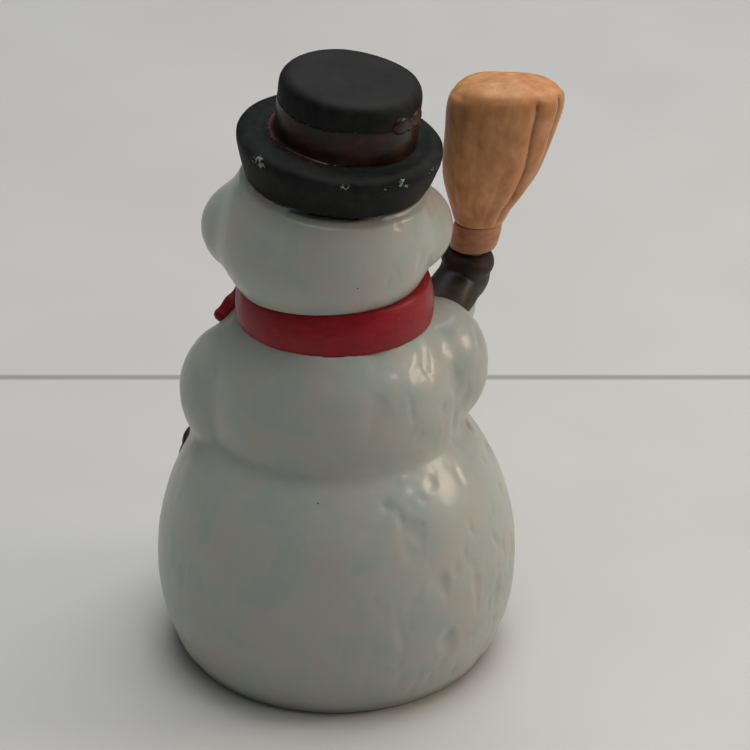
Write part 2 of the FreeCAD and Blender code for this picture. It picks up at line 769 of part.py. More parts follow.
def make_stone_nipple():
    """Collared nipple between the tube and the stone."""
    low = ring(tube_spigot_radius, 0, tube_end - spigot_in_tube, tube_end)
    collar = ring(tube_radius, 0, tube_end, stone_z)
    high = ring(stone_spigot_radius, 0, stone_z, stone_z + stone_spigot_length)
    bore = ring(elbow_bore_radius * 0.75, 0, tube_end - spigot_in_tube, stone_z + stone_spigot_length)
    return low.fuse([collar, high]).cut(bore)


def make_air_stone():
    """Round sintered stone with a blind hole for the nipple."""
    stone = ring(stone_radius, 0, stone_z, stone_z + stone_length)
    stone = stone.makeFillet(0.9, [edge for edge in stone.Edges if edge.Closed])
    hole_top = stone_z + stone_spigot_length + push_gap
    return stone.cut(ring(stone_spigot_radius + push_gap, 0, stone_z, hole_top))


# ---------------------------------------------------------------- one file for each sub-part

os.makedirs("parts", exist_ok=True)

export("body_casting", body_casting)
export("head_casting", head_casting)
export("left_mitten", left_mitten)
export("right_mitten", right_mitten)
export("scarf_wrap", scarf_wrap)
export("scarf_knot", scarf_knot)
export("scarf_tail_long", scarf_tail_long)
export("scarf_tail_short", scarf_tail_short)
export("broom_handle", broom_handle)
export("broom_binding", broom_binding)
export("broom_bristles", broom_bristles)
export("eyes", eyes)
export("carrot_nose", carrot_nose)
export("mouth_coals", mouth_coals)
export("coat_buttons", coat_buttons)

export("hat_shell", in_hat(hat_shell))
export("hat_band", in_hat(hat_band))
export("hat_bow", in_hat(hat_bow))
export("hat_liner", in_hat(make_hat_liner()))
export("lid_weight", in_hat(make_lid_weight()))

export("hinge_bracket", in_hat(make_hinge_bracket()))
export("hinge_pin", in_hat(make_hinge_pin()))
export("seat_ring", in_hat(make_seal_sector(seal_thickness + seal_gap, -seal_gap)))

export("base_stopper", make_base_stopper())
export("inlet_elbow", make_inlet_elbow())
export("riser_tube", make_riser_tube())
export("riser_guide", make_riser_guide())
export("stone_nipple", make_stone_nipple())
export("air_stone", make_air_stone())
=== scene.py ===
"""Looks of the bubbling snowman: bisque castings, painted hat, scarf, broom and face, and the air fittings.

Metres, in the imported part's own frame. +Z is up, the figure faces -Y, and the broom is at -X.
"""
import logging
import math
from dataclasses import dataclass, field
from typing import Callable

import bpy
import numpy as np
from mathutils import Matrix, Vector, noise


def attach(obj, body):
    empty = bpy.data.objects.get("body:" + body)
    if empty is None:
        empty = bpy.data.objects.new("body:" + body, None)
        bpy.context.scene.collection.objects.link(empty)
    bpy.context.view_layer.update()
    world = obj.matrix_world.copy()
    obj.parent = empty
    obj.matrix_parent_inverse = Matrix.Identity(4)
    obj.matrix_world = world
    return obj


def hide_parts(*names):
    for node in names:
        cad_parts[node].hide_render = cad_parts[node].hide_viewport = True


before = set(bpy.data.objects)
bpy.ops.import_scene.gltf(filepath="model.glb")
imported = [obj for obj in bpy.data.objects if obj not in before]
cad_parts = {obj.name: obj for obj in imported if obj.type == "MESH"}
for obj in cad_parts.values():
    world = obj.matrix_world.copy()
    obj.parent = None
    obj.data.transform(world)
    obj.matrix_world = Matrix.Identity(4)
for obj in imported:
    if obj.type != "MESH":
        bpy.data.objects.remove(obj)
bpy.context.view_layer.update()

MM = 0.001
Rule = Callable[[np.ndarray, np.ndarray], np.ndarray]
logging.basicConfig(level=logging.INFO, format="%(message)s")
log = logging.getLogger("snowman")


# ------------------------------------------------------------------ small tools of the bench


def linear(colour: str) -> tuple[float, float, float, float]:
    """Turns an sRGB hex colour to linear.

    Args:
        colour: the colour as "#rrggbb".

    Returns:
        Linear red, green and blue, and an alpha of 1.
    """
    parts = [int(colour[i : i + 2], 16) / 255 for i in (1, 3, 5)]
    low = [p / 12.92 if p <= 0.04045 else ((p + 0.055) / 1.055) ** 2.4 for p in parts]
    return (low[0], low[1], low[2], 1.0)


def per_mm(size: float) -> float:
    """Scale of a noise pattern whose features are this many millimetres."""
    return 1.0 / (size * MM)


def add_node(tree: bpy.types.NodeTree, kind: str, inputs: dict | None = None, **settings) -> bpy.types.Node:
    """Adds a shader node, with its settings, its values and its links.

    Args:
        tree: the material's node tree.
        kind: the node's type, without its "ShaderNode" start.
        inputs: by socket name or number, a constant, or an output socket to link.
        settings: the node's own properties.

    Returns:
        The new node.
    """
    made = tree.nodes.new("ShaderNode" + kind)
    for name, value in settings.items():
        setattr(made, name, value)
    for name, value in (inputs or {}).items():
        if isinstance(value, bpy.types.NodeSocket):
            tree.links.new(value, made.inputs[name])
        else:
            made.inputs[name].default_value = value
    return made


def ramp(node: bpy.types.Node, stops: list[tuple[float, str]]) -> None:
    """Sets the stops of a colour ramp.

    Args:
        node: the ramp node.
        stops: each stop's place, from 0 to 1, and its colour as hex.
    """
    elements = node.color_ramp.elements
    while len(elements) < len(stops):
        elements.new(0.5)
    for element, (place, colour) in zip(elements, stops):
        element.position = place
        element.color = linear(colour)


def new_material(name: str) -> tuple[bpy.types.Material, bpy.types.NodeTree, bpy.types.Node,
                                     bpy.types.NodeSocket]:
    """Starts a material.

    Args:
        name: what the finish is.

    Returns:
        The material, its tree, its main shader and the object's own coordinates.
    """
    material = bpy.data.materials.new(name)
    material.use_nodes = True
    tree = material.node_tree
    shader = tree.nodes["Principled BSDF"]
    place = add_node(tree, "TexCoord").outputs["Object"]
    return material, tree, shader, place


def deselect() -> None:
    """Leaves nothing selected."""
    for other in list(bpy.context.selected_objects):
        other.select_set(False)


def take_up(piece: bpy.types.Object) -> None:
    """Makes one piece the only selected one, and the active one."""
    deselect()
    piece.select_set(True)
    bpy.context.view_layer.objects.active = piece


def copy_of(nodes: list[str], name: str) -> bpy.types.Object:
    """Copies CAD nodes into one new piece, with their loose triangles merged.

    Args:
        nodes: the CAD nodes to copy.
        name: the new piece's name.

    Returns:
        The new piece, at the origin.
    """
    copies = []
    for node in nodes:
        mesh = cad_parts[node].data.copy()
        mesh.materials.clear()
        copies.append(bpy.data.objects.new(name, mesh))
        bpy.context.scene.collection.objects.link(copies[-1])
    take_up(copies[0])
    for other in copies[1:]:
        other.select_set(True)
    if len(copies) > 1:
        bpy.ops.object.join()
    piece = copies[0]
    piece.name = name
    piece.data.name = name
    bpy.ops.object.mode_set(mode="EDIT")
    bpy.ops.mesh.select_all(action="SELECT")
    bpy.ops.mesh.remove_doubles(threshold=2e-6)
    bpy.ops.object.mode_set(mode="OBJECT")
    for attribute in ("custom_normal", "sharp_edge"):
        found = piece.data.attributes.get(attribute)
        if found:
            piece.data.attributes.remove(found)
    return piece


def apply_modifier(piece: bpy.types.Object, kind: str, **settings) -> None:
    """Adds a modifier with these settings and applies it.

    Args:
        piece: the piece to change.
        kind: the modifier's type.
        settings: the modifier's properties.
    """
    take_up(piece)
    modifier = piece.modifiers.new(kind.title(), kind)
    for name, value in settings.items():
        setattr(modifier, name, value)
    bpy.ops.object.modifier_apply(modifier=modifier.name)


def points_of(piece: bpy.types.Object) -> tuple[np.ndarray, np.ndarray]:
    """Reads a mesh in millimetres.

    Args:
        piece: the piece to read.

    Returns:
        Its vertices in millimetres and their unit normals, one row each.
    """
    count = len(piece.data.vertices)
    place, normal = np.empty(count * 3, np.float32), np.empty(count * 3, np.float32)
    piece.data.vertices.foreach_get("co", place)
    piece.data.vertex_normals.foreach_get("vector", normal)
    return place.reshape(-1, 3).astype(float) / MM, normal.reshape(-1, 3).astype(float)


def weigh(piece: bpy.types.Object, name: str, rule: Rule) -> np.ndarray:
    """Weighs each vertex into a group.

    Args:
        piece: the piece.
        name: the group's name.
        rule: gives the weights from the vertices in millimetres and their normals.

    Returns:
        The weights, from 0 to 1.
    """
    weights = np.clip(rule(*points_of(piece)), 0, 1)
    group = piece.vertex_groups.new(name=name)
    steps = np.round(weights * 40).astype(int)
    for step in range(1, 41):
        members = np.nonzero(steps == step)[0]
        if len(members):
            group.add(members.tolist(), step / 40, "REPLACE")
    return weights


def carve(piece: bpy.types.Object, depth: np.ndarray, store: str = "carve") -> None:
    """Moves each vertex along its normal, and keeps how far as an attribute, from which the paint lays
    painted shade in the hollows.

    Args:
        piece: the piece.
        depth: how far out each vertex goes, in millimetres.
        store: the attribute's name.
    """
    place, normal = points_of(piece)
    moved = (place + normal * depth[:, None]) * MM
    piece.data.vertices.foreach_set("co", moved.astype(np.float32).ravel())
    piece.data.update()
    kept = piece.data.attributes.get(store) or piece.data.attributes.new(store, "FLOAT", "POINT")
    kept.data.foreach_set("value", depth.astype(np.float32))


def store_values(piece: bpy.types.Object, name: str, values: np.ndarray) -> None:
    """Keeps one value for each vertex as an attribute for the paint."""
    kept = piece.data.attributes.get(name) or piece.data.attributes.new(name, "FLOAT", "POINT")
    kept.data.foreach_set("value", values.astype(np.float32))


def ripple(place: np.ndarray, sizes: tuple[float, float, float], seed: float) -> np.ndarray:
    """Smooth random field over the vertices.

    Args:
        place: the vertices in millimetres.
        sizes: size of the field's features along X, Y and Z in millimetres.
        seed: moves the field, so that two pieces differ.

    Returns:
        One value for each vertex, about -1 to 1.
    """
    scaled = place / np.array(sizes) + seed
    return np.array([noise.noise(Vector(p)) for p in scaled])


def smooth_step(values: np.ndarray, low: float, high: float) -> np.ndarray:
    """Eases from 0 at low to 1 at high, or from 1 to 0 where low is the higher."""
    share = np.clip((values - low) / (high - low), 0, 1)
    return share * share * (3 - 2 * share)


def dress(piece: bpy.types.Object, material: bpy.types.Material) -> None:
    """Gives a piece one finish all over."""
    piece.data.materials.clear()
    piece.data.materials.append(material)


def settle(piece: bpy.types.Object, material: bpy.types.Material, body: str,
           nodes: list[str]) -> None:
    """Finishes a piece: smooth shading, its finish, its body and the CAD nodes it stands for.

    Args:
        piece: the piece.
        material: its finish.
        body: the CAD body it rides on.
        nodes: the CAD nodes that it replaces.
    """
    take_up(piece)
    bpy.ops.object.shade_smooth()
    piece.vertex_groups.clear()
    dress(piece, material)
    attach(piece, body)
    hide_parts(*nodes)
    log.info("%s: %d faces on %s", piece.name, len(piece.data.polygons), body)


@dataclass(frozen=True)
class Skin:
    """How a cast or carved piece gets its hand-made surface.

    Sizes are in millimetres: grain is the mesh's face size, soften the number of smoothing passes, swell what
    smoothing took off and is given back, lump the depth of the soft unevenness and lump_size its width.
    """

    grain: float
    soften: int = 8
    swell: float = 0.0
    lump: float = 0.06
    lump_size: float = 3.0
    seed: float = 0.0

    def model(self, nodes: list[str], name: str, free: Rule | None = None) -> bpy.types.Object:
        """Models the piece from its CAD nodes.

        Args:
            nodes: the CAD nodes whose shape it has.
            name: the piece's name.
            free: weights of what may change; what is left at 0 stays true to the CAD surface.

        Returns:
            The piece, with an attribute that says how each vertex was carved.
        """
        piece = copy_of(nodes, name)
        apply_modifier(piece, "REMESH", mode="VOXEL", voxel_size=self.grain * MM, use_smooth_shade=True)
        weights = weigh(piece, "free", free or (lambda place, normal: np.ones(len(place))))
        if free:
            weigh(piece, "true", lambda place, normal: 1 - smooth_step(weights, 0.0, 0.3))
        apply_modifier(piece, "SMOOTH", factor=0.5, iterations=self.soften, vertex_group="free")
        place, _ = points_of(piece)
        coarse = ripple(place, (self.lump_size * 2.2,) * 3, self.seed)
        fine = ripple(place, (self.lump_size,) * 3, self.seed + 31.7)
        carve(piece, weights * (self.swell + self.lump * (coarse + 0.6 * fine)))
        if free:
            target = bpy.data.objects.new("true_shape", copy_mesh(nodes))
            bpy.context.scene.collection.objects.link(target)
            apply_modifier(piece, "SHRINKWRAP", target=target, vertex_group="true",
                           wrap_method="NEAREST_SURFACEPOINT")
            bpy.data.objects.remove(target)
        return piece


def copy_mesh(nodes: list[str]) -> bpy.types.Mesh:
    """Copy of one CAD node's mesh, to measure against."""
    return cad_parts[nodes[0]].data.copy()


# ------------------------------------------------------------------ finishes


@dataclass(frozen=True)
class Bisque:
    """Slip-cast porcelain under a thin clear glaze: milky and satin, with faint grain and pinholes, and
    painted shade greying its dents.
    """

    name: str = "bisque_porcelain"
    pale: str = "#b0b3aa"
    cool: str = "#a5afa7"
    warm: str = "#b6aea2"
    grain: float = 0.35
    cloud: float = 6.0
    pinhole: float = 3.2

    def make(self) -> bpy.types.Material:
        """Builds the material."""
        material, tree, shader, place = new_material(self.name)
        cloud = add_node(tree, "TexNoise", {"Vector": place, "Scale": per_mm(self.cloud), "Detail": 4.0})
        tint = add_node(tree, "ValToRGB", {"Fac": cloud.outputs["Fac"]})
        ramp(tint, [(0.28, self.cool), (0.50, self.pale), (0.78, self.warm)])
        pits = add_node(tree, "TexVoronoi", {"Vector": place, "Scale": per_mm(self.pinhole),
                                             "Randomness": 1.0})
        pit = add_node(tree, "MapRange", {"Value": pits.outputs["Distance"], "From Min": 0.035,
                                          "From Max": 0.06,
                                          "To Min": 1.0, "To Max": 0.0})
        chance = add_node(tree, "TexWhiteNoise", {"Vector": pits.outputs["Position"]})
        rare = add_node(tree, "Math", {0: chance.outputs["Value"], 1: 0.86}, operation="GREATER_THAN")
        dark = add_node(tree, "Math", {0: pit.outputs["Result"], 1: rare.outputs[0]}, operation="MULTIPLY")
        # Painted shade: the deeper the surface was carved inward, in the dents, the more the colour is greyed
        # towards #9a9d95.
        carved = add_node(tree, "Attribute", attribute_name="carve")
        painted_dent_shade = add_node(tree, "MapRange", {"Value": carved.outputs["Fac"], "From Min": -0.35,
                                           "From Max": 0.25,
                                           "To Min": 0.30, "To Max": 0.0})
        tint_with_dent_shade = add_node(tree, "Mix", {0: painted_dent_shade.outputs["Result"], 6: tint.outputs["Color"],
                                       7: linear("#9a9d95")},
                         data_type="RGBA")
        spotted = add_node(tree, "Mix", {0: dark.outputs[0], 6: tint_with_dent_shade.outputs[2], 7: linear("#4b463e")},
                           data_type="RGBA")
        tree.links.new(spotted.outputs[2], shader.inputs["Base Color"])
        fine = add_node(tree, "TexNoise", {"Vector": place, "Scale": per_mm(self.grain), "Detail": 4.0})
        soft = add_node(tree, "TexNoise", {"Vector": place, "Scale": per_mm(2.4), "Detail": 2.0})
        gloss = add_node(tree, "MapRange", {"Value": soft.outputs["Fac"], "To Min": 0.27, "To Max": 0.48})
        tree.links.new(gloss.outputs["Result"], shader.inputs["Roughness"])
        height = add_node(tree, "Mix", {0: 0.7, 2: fine.outputs["Fac"], 3: soft.outputs["Fac"]},
                          data_type="FLOAT")
        sunk = add_node(tree, "Math", {0: height.outputs[0], 1: dark.outputs[0]}, operation="SUBTRACT")
        bump = add_node(tree, "Bump", {"Strength": 0.5, "Distance": 0.07 * MM, "Height": sunk.outputs[0]})
        tree.links.new(bump.outputs["Normal"], shader.inputs["Normal"])
        shader.inputs["Subsurface Weight"].default_value = 0.12
        shader.inputs["Subsurface Scale"].default_value = 1.2 * MM
        shader.inputs["Subsurface Radius"].default_value = (1.0, 0.9, 0.8)
        shader.inputs["IOR"].default_value = 1.50
        shader.inputs["Coat Weight"].default_value = 0.22
        shader.inputs["Coat Roughness"].default_value = 0.12
        return material


@dataclass(frozen=True)
class BrushedPaint:
    """Acrylic paint laid on bisque with a small brush: satin, faint streaks, uneven film, dabs of gloss, and
    painted shade darkening its hollows.
    """

    name: str
    body: str
    deep: str
    light: str
    streak: tuple[float, float, float] = (1.0, 1.0, 1.0)
    streak_size: float = 1.1
    rough: tuple[float, float] = (0.34, 0.58)
    film: float = 0.05
    # Strength and colour of the painted shade laid in the hollows.
    hollow_shade_strength: float = 0.6
    hollow_shade: str = ""

    def make(self) -> bpy.types.Material:
        """Builds the material."""
        material, tree, shader, place = new_material(self.name)
        along = add_node(tree, "Mapping", {"Vector": place, "Scale": self.streak})
        strokes = add_node(tree, "TexNoise", {"Vector": along.outputs["Vector"],
                                              "Scale": per_mm(self.streak_size),
                                              "Detail": 5.0, "Roughness": 0.6})
        patches = add_node(tree, "TexNoise", {"Vector": place, "Scale": per_mm(5.0), "Detail": 2.0})
        both = add_node(tree, "Mix", {0: 0.4, 2: strokes.outputs["Fac"], 3: patches.outputs["Fac"]},
                        data_type="FLOAT")
        tint = add_node(tree, "ValToRGB", {"Fac": both.outputs[0]})
        ramp(tint, [(0.33, self.deep), (0.5, self.body), (0.70, self.light)])
        # Painted shade: the deeper a hollow was carved, the more the colour darkens towards the shade colour
        # given last, else towards the deep colour.
        carved = add_node(tree, "Attribute", attribute_name="carve")
        low = add_node(tree, "MapRange", {"Value": carved.outputs["Fac"], "From Min": -0.45, "From Max": 0.05,
                                          "To Min": self.hollow_shade_strength, "To Max": 0.0})
        hollow_shade = add_node(tree, "Mix", {0: low.outputs["Result"], 6: tint.outputs["Color"],
                                      7: linear(self.hollow_shade or self.deep)}, data_type="RGBA")
        tree.links.new(hollow_shade.outputs[2], shader.inputs["Base Color"])
        gloss = add_node(tree, "MapRange", {"Value": patches.outputs["Fac"], "From Min": 0.3, "From Max": 0.7,
                                            "To Min": self.rough[0], "To Max": self.rough[1]})
        tree.links.new(gloss.outputs["Result"], shader.inputs["Roughness"])
        bump = add_node(tree, "Bump", {"Strength": 0.6, "Distance": self.film * MM,
                                       "Height": strokes.outputs["Fac"]})
        tree.links.new(bump.outputs["Normal"], shader.inputs["Normal"])
        shader.inputs["IOR"].default_value = 1.45
        shader.inputs["Specular IOR Level"].default_value = 0.35
        return material


@dataclass(frozen=True)
class ChippedPaint:
    """Black hat paint with a painted sheen lightening the crown's top, chipped along the brim down to a pale
    grey-green undercoat.
    """

    name: str = "chipped_black_paint"
    black: str = "#161717"
    rubbed: str = "#2b2c2b"
    undercoat: str = "#87938b"
    chip_size: float = 0.75

    def make(self) -> bpy.types.Material:
        """Builds the material."""
        material, tree, shader, place = new_material(self.name)
        strokes = add_node(tree, "TexNoise", {"Vector": place, "Scale": per_mm(1.6), "Detail": 5.0,
                                              "Roughness": 0.6})
        patches = add_node(tree, "TexNoise", {"Vector": place, "Scale": per_mm(6.0), "Detail": 2.0})
        both = add_node(tree, "Mix", {0: 0.5, 2: strokes.outputs["Fac"], 3: patches.outputs["Fac"]},
                        data_type="FLOAT")
        tint = add_node(tree, "ValToRGB", {"Fac": both.outputs[0]})
        ramp(tint, [(0.36, self.black), (0.66, self.rubbed)])
        # Painted highlight: the crown's top face is lightened towards #3b3c3a as a sheen.
        crown_top_sheen = add_node(tree, "Attribute", attribute_name="crown_top_sheen")
        top = add_node(tree, "Mix", {0: crown_top_sheen.outputs["Fac"], 6: tint.outputs["Color"], 7: linear("#3b3c3a")},
                       data_type="RGBA")
        flakes = add_node(tree, "TexNoise", {"Vector": place, "Scale": per_mm(self.chip_size), "Detail": 3.0,
                                             "Roughness": 0.65})
        wear = add_node(tree, "Attribute", attribute_name="wear")
        sum_up = add_node(tree, "Math", {0: wear.outputs["Fac"], 1: flakes.outputs["Fac"]}, operation="ADD")
        chip = add_node(tree, "MapRange", {"Value": sum_up.outputs[0], "From Min": 1.02, "From Max": 1.06})
        coloured = add_node(tree, "Mix", {0: chip.outputs["Result"], 6: top.outputs[2],
                                          7: linear(self.undercoat)},
                            data_type="RGBA")
        tree.links.new(coloured.outputs[2], shader.inputs["Base Color"])
        gloss = add_node(tree, "MapRange", {"Value": both.outputs[0], "From Min": 0.35, "From Max": 0.65,
                                            "To Min": 0.50, "To Max": 0.66})
        dull = add_node(tree, "Mix", {0: chip.outputs["Result"], 2: gloss.outputs["Result"], 3: 0.8},
                        data_type="FLOAT")
        tree.links.new(dull.outputs[0], shader.inputs["Roughness"])
        film = add_node(tree, "Math", {0: strokes.outputs["Fac"], 1: chip.outputs["Result"]},
                        operation="SUBTRACT")
        bump = add_node(tree, "Bump", {"Strength": 0.7, "Distance": 0.07 * MM, "Height": film.outputs[0]})
        tree.links.new(bump.outputs["Normal"], shader.inputs["Normal"])
        shader.inputs["IOR"].default_value = 1.40
        shader.inputs["Specular IOR Level"].default_value = 0.12
        return material


@dataclass(frozen=True)
class Moulding:
    """Moulded plastic, rubber or silicone: even colour, fine mould texture, slightly cloudy gloss."""

    name: str
    colour: str
    shade: str
    rough: tuple[float, float] = (0.30, 0.45)
    texture: float = 0.4
    depth: float = 0.02
    clear: float = 0.0

    def make(self) -> bpy.types.Material:
        """Builds the material."""
        material, tree, shader, place = new_material(self.name)
        cloud = add_node(tree, "TexNoise", {"Vector": place, "Scale": per_mm(4.0), "Detail": 3.0})
        tint = add_node(tree, "ValToRGB", {"Fac": cloud.outputs["Fac"]})
        ramp(tint, [(0.35, self.shade), (0.65, self.colour)])
        tree.links.new(tint.outputs["Color"], shader.inputs["Base Color"])
        skin = add_node(tree, "TexNoise", {"Vector": place, "Scale": per_mm(self.texture), "Detail": 3.0})
        gloss = add_node(tree, "MapRange", {"Value": skin.outputs["Fac"], "From Min": 0.3, "From Max": 0.7,
                                            "To Min": self.rough[0], "To Max": self.rough[1]})
        tree.links.new(gloss.outputs["Result"], shader.inputs["Roughness"])
        bump = add_node(tree, "Bump", {"Strength": 0.5, "Distance": self.depth * MM,
                                       "Height": skin.outputs["Fac"]})
        tree.links.new(bump.outputs["Normal"], shader.inputs["Normal"])
        shader.inputs["IOR"].default_value = 1.49
        shader.inputs["Transmission Weight"].default_value = self.clear
        return material


@dataclass(frozen=True)
class Metal:
    """Stamped, turned or drawn metal: drawing lines along one axis, dulled in patches."""

    name: str
    colour: str
    tarnish: str
    lines: tuple[float, float, float] = (1.0, 1.0, 0.08)

    def make(self) -> bpy.types.Material:
        """Builds the material."""
        material, tree, shader, place = new_material(self.name)
        along = add_node(tree, "Mapping", {"Vector": place, "Scale": self.lines})
        drawn = add_node(tree, "TexNoise", {"Vector": along.outputs["Vector"], "Scale": per_mm(0.12),
                                            "Detail": 3.0})
        patch = add_node(tree, "TexNoise", {"Vector": place, "Scale": per_mm(1.5), "Detail": 3.0})
        tint = add_node(tree, "ValToRGB", {"Fac": patch.outputs["Fac"]})
        ramp(tint, [(0.40, self.tarnish), (0.60, self.colour)])
        tree.links.new(tint.outputs["Color"], shader.inputs["Base Color"])
        gloss = add_node(tree, "MapRange", {"Value": drawn.outputs["Fac"], "To Min": 0.22, "To Max": 0.42})
        tree.links.new(gloss.outputs["Result"], shader.inputs["Roughness"])
        bump = add_node(tree, "Bump", {"Strength": 0.4, "Distance": 0.01 * MM,
                                       "Height": drawn.outputs["Fac"]})
        tree.links.new(bump.outputs["Normal"], shader.inputs["Normal"])
        shader.inputs["Metallic"].default_value = 1.0
        return material


@dataclass(frozen=True)
class SinteredStone:
    """Sintered mineral air stone: coarse blue-grey grit about 0.5 mm across, matt and open."""

    name: str = "sintered_air_stone"
    grit: float = 0.5

    def make(self) -> bpy.types.Material:
        """Builds the material."""
        material, tree, shader, place = new_material(self.name)
        grains = add_node(tree, "TexVoronoi", {"Vector": place, "Scale": per_mm(self.grit)})
        tint = add_node(tree, "ValToRGB", {"Fac": grains.outputs["Color"]})
        ramp(tint, [(0.2, "#55616b"), (0.5, "#7b8893"), (0.85, "#a9b3ba")])
        tree.links.new(tint.outputs["Color"], shader.inputs["Base Color"])
        bump = add_node(tree, "Bump", {"Strength": 1.0, "Distance": 0.2 * MM,
                                       "Height": grains.outputs["Distance"]},
                        invert=True)
        tree.links.new(bump.outputs["Normal"], shader.inputs["Normal"])
        shader.inputs["Roughness"].default_value = 0.92
        return material


# For the scarf, the last value is the strength of the painted shade in its folds.
SCARF_PAINT = BrushedPaint("crimson_brushed_paint", "#970f21", "#7e0a18", "#a81e2f", (1, 1, 2.6), 2.2,
                           (0.32, 0.50),
                           0.03, 0.35)
# The broom's last two values are the strength and the colour of the painted shade in its flutes.
BROOM_PAINT = BrushedPaint("straw_wash_paint", "#cf905e", "#b5774b", "#e4ac7a", (1.6, 1.6, 0.6), 3.2,
                           (0.36, 0.52),
                           0.04, 0.85, "#6b3c20")
# The binding's last two values are the strength and the colour of the painted shade in its hollows.
BINDING_PAINT = BrushedPaint("twine_tan_paint", "#bd835f", "#a66e4c", "#c9906a", (1, 1, 2.5), 1.8,
                             (0.34, 0.5), 0.04,
                             0.8, "#6a3d26")
# The rest lay painted shade in their hollows at the default strength, in their deep colour.
STICK_PAINT = BrushedPaint("stick_brown_paint", "#7a5130", "#4a2f1b", "#97683f", (3.0, 3.0, 0.4), 0.8,
                           (0.38, 0.55))
MITTEN_PAINT = BrushedPaint("mitten_brown_paint", "#2a211d", "#171210", "#40352c", (1, 1, 1), 1.2,
                            (0.36, 0.6))
BAND_PAINT = BrushedPaint("band_red_brown_paint", "#26110f", "#171010", "#4a2019", (1, 1, 2.0), 2.4,
                          (0.24, 0.42), 0.04)
COAL_PAINT = BrushedPaint("coal_black_paint", "#191919", "#0d0d0d", "#333332", (1, 1, 1), 0.8, (0.25, 0.45))
CARROT_PAINT = BrushedPaint("carrot_orange_paint", "#d8691f", "#9c3f10", "#ec8a3a", (2.5, 0.6, 2.5), 0.9,
                            (0.3, 0.5))


# ------------------------------------------------------------------ the figure's sub-assemblies


@dataclass
class Castings:
    """The two bisque castings, body and head, and the two painted mittens moulded on the body."""

    body_skin: Skin = Skin(0.64, 46, 0.30, 0.10, 5.0, 3.0)
    head_skin: Skin = Skin(0.36, 320, 0.62, 0.09, 4.0, 11.0)
    mitten_skin: Skin = Skin(0.24, 40, 0.12, 0.05, 2.4, 17.0)
    ball: tuple[float, float, float, float] = (26.8, 31.5, 28.8, 15.8)
    torso: tuple[float, float, float] = (18.0, 16.0, 47.0)
    head: tuple[float, float, float, float] = (14.0, 11.5, 74.4, 1.2)
    scarf_low: float = 59.4
    scarf_high: float = 66.7
    rim_middle: tuple[float, float, float] = (-0.3, 0.0, 84.0)
    rim_axis: tuple[float, float, float] = (-0.11287, 0.07672, 0.99064)

    def body_free(self, place: np.ndarray, normal: np.ndarray) -> np.ndarray:
        """Weights of the body's outer face, free to be uneven; its hollow, foot and socket stay true."""
        radius, up, down, rise = self.ball
        z = place[:, 2] - rise
        flat = np.hypot(place[:, 0], place[:, 1])
        ball = np.hypot(flat / radius, z / np.where(z > 0, up, down))
        torso = np.hypot(flat / self.torso[0], (place[:, 2] - self.torso[2]) / self.torso[1])
        outside = smooth_step(np.minimum(ball, torso), 1.02, 1.06)
        foot = smooth_step(place[:, 2], 0.2, 3.0) * smooth_step(flat + 3 * (place[:, 2] > 13), 21.0, 23.0)
        neck = smooth_step(place[:, 2], self.scarf_low + 2.0, self.scarf_low)
        return outside * neck * np.where(place[:, 2] < 13, foot, 1.0)

    def head_free(self, place: np.ndarray, normal: np.ndarray) -> np.ndarray:
        """Weights of the head's outer face; its hollow, its spigot and the hat's seat stay true."""
        radius, half, rise, shift = self.head
        flat = np.hypot(place[:, 0] - shift, place[:, 1])
        outside = smooth_step(np.hypot(flat / radius, (place[:, 2] - rise) / half), 1.03, 1.10)
        below_seat = (place - np.array(self.rim_middle)) @ np.array(self.rim_axis)
        seat = smooth_step(below_seat, -0.5, -1.8)
        neck = smooth_step(place[:, 2], self.scarf_high - 3.0, self.scarf_high - 1.5)
        return outside * seat * neck

    @staticmethod
    def dents(place: np.ndarray, sizes: tuple[float, float, float], seed: float, share: float) -> np.ndarray:
        """Scattered soft dents, as a wet casting gets from handling."""
        field_ = ripple(place, sizes, seed)
        return -np.clip(field_ - (1 - share), 0, None) / share

    def roughen(self, piece: bpy.types.Object, free: Rule, depth: float, seed: float) -> None:
        """Adds the broom side's dents and wrinkles, which fade out towards the other side.

        Args:
            piece: the casting.
            free: weights of what may change.
            depth: depth of the deepest dent, in millimetres.
            seed: moves the pattern.
        """
        place, normal = points_of(piece)
        weights = np.clip(free(place, normal), 0, 1)
        side = 0.30 + 0.70 * smooth_step(-place[:, 0], 0.0, 18.0)
        broad = self.dents(place, (4.2, 4.2, 5.4), seed, 0.75)
        small = self.dents(place, (2.0, 2.0, 3.2), seed + 9, 0.7)
        lumps = broad + 0.6 * small
        was = np.empty(len(place), np.float32)
        piece.data.attributes["carve"].data.foreach_get("value", was)
        step = weights * side * depth * lumps
        carve(piece, step)
        # The dents' depth joins the carve attribute, from which the bisque greys the dents as painted shade.
        store_values(piece, "carve", was + step)

    def build(self) -> None:
        """Models and finishes the castings and mittens."""
        bisque = Bisque().make()
        body = self.body_skin.model(["body_casting"], "snow_body", self.body_free)
        self.roughen(body, self.body_free, 0.75, 4.1)
        settle(body, bisque, "figure", ["body_casting"])
        head = self.head_skin.model(["head_casting"], "snow_head", self.head_free)
        self.roughen(head, self.head_free, 0.45, 27.3)
        settle(head, bisque, "figure", ["head_casting"])
        paint = MITTEN_PAINT.make()
        for node in ("right_mitten", "left_mitten"):
            mitten = self.mitten_skin.model([node], node + "_knit")
            settle(mitten, paint, "figure", [node])


